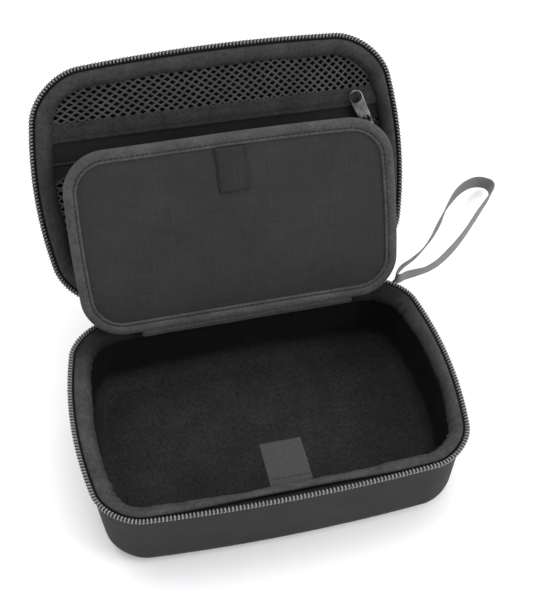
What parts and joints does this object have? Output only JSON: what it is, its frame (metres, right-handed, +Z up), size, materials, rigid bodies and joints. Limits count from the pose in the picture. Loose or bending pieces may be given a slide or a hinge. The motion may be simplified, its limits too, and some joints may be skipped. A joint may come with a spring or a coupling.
{
  "type": "zipped carry case",
  "caption": "Moulded zip-round carry case, open, with a deep base, a hinged lid with a zipped mesh pocket, a padded divider flap, a hook tab and a wrist strap.",
  "frame": {"origin": "centre of the base's flat underside, where the open case stands on the table", "axes": "+Z up, +X to the right along the long side, +Y from the open front towards the hinge at the back"},
  "size_m": [0.3367, 0.271, 0.1903],
  "materials": {
    "shell_cloth": "woven cloth moulded on foam, matte",
    "lining_knit": "brushed knit",
    "facing_knit": "fine knit over padding",
    "zip_tape": "woven tape",
    "zip_coil": "metallised nylon coil",
    "divider_cloth": "woven cloth",
    "binding_cloth": "stretch binding",
    "board_plastic": "stiffening sheet",
    "pocket_mesh": "open diamond mesh",
    "webbing": "ribbed webbing",
    "gunmetal": "dark plated, shiny"
  },
  "bodies": {
    "base": {"base_shell": "shell_cloth", "base_lining": "lining_knit", "base_rim_facing": "facing_knit", "base_zip_tape": "zip_tape", "base_zip_coil": "zip_coil", "base_hinge_tape": "zip_tape", "divider_hinge_strip": "binding_cloth", "left_slider": "gunmetal", "left_slider_crown": "gunmetal", "right_slider": "gunmetal", "right_slider_crown": "gunmetal", "strap_anchor": "webbing"},
    "lid": {"lid_shell": "shell_cloth", "lid_lining": "lining_knit", "lid_rim_facing": "facing_knit", "lid_zip_tape": "zip_tape", "lid_zip_coil": "zip_coil", "lid_hinge_tape": "zip_tape", "pocket_mesh_upper": "pocket_mesh", "pocket_band": "facing_knit", "pocket_tape_upper": "zip_tape", "pocket_coil": "zip_coil", "pocket_tape_lower": "zip_tape", "pocket_mesh_lower": "pocket_mesh"},
    "pocket_slider": {"pocket_slider": "gunmetal", "pocket_slider_crown": "gunmetal"},
    "pocket_pull": {"pocket_pull": "gunmetal"},
    "divider": {"divider_board": "board_plastic", "divider_cover_front": "divider_cloth", "divider_cover_back": "divider_cloth", "divider_binding": "binding_cloth", "divider_patch": "webbing", "divider_hinge_web": "binding_cloth"},
    "hook_tab": {"hook_tab": "webbing"},
    "wrist_strap": {"wrist_strap": "webbing"},
    "left_pull": {"left_pull": "gunmetal"},
    "right_pull": {"right_pull": "gunmetal"}
  },
  "joints": [
    {"name": "lid_hinge", "type": "hinge", "parent": "base", "child": "lid", "pos_m": [0, 0.07805, 0.0566], "axis": [1, 0, 0], "range_deg": [0, 120.13]},
    {"name": "divider_hinge", "type": "hinge", "parent": "base", "child": "divider", "pos_m": [0, 0.05725, 0.0543], "axis": [1, 0, 0], "range_deg": [0, 119.3]},
    {"name": "pocket_zip_slide", "type": "slide", "parent": "lid", "child": "pocket_slider", "axis": [-1, 0, 0], "range_m": [0, 0.17]},
    {"name": "pocket_pull_lift", "type": "hinge", "parent": "pocket_slider", "child": "pocket_pull", "pos_m": [0.09396, 0.12854, 0.13772], "axis": [-0.9397, -0.1717, -0.2958], "range_deg": [-50, 0]},
    {"name": "left_pull_lift", "type": "hinge", "parent": "base", "child": "left_pull", "pos_m": [-0.0826, 0.0807, 0.0496], "axis": [1, 0, 0], "range_deg": [0, 50]},
    {"name": "right_pull_lift", "type": "hinge", "parent": "base", "child": "right_pull", "pos_m": [0.0826, 0.0807, 0.0496], "axis": [1, 0, 0], "range_deg": [0, 50]},
    {"name": "hook_tab_fold", "type": "hinge", "parent": "base", "child": "hook_tab", "pos_m": [0.0015, -0.0617, 0.0478], "axis": [-1, 0, 0], "range_deg": [-80, 55], "stiffness_Nm_per_rad": 0.004},
    {"name": "wrist_strap_swing", "type": "hinge", "parent": "base", "child": "wrist_strap", "pos_m": [0.10465, 0.07143, 0.049], "axis": [0, 0, 1], "range_deg": [-45, 25]}
  ],
  "couplings": [
    {"joint": "divider_hinge", "follows": "lid_hinge", "ratio": 0.993}
  ]
}
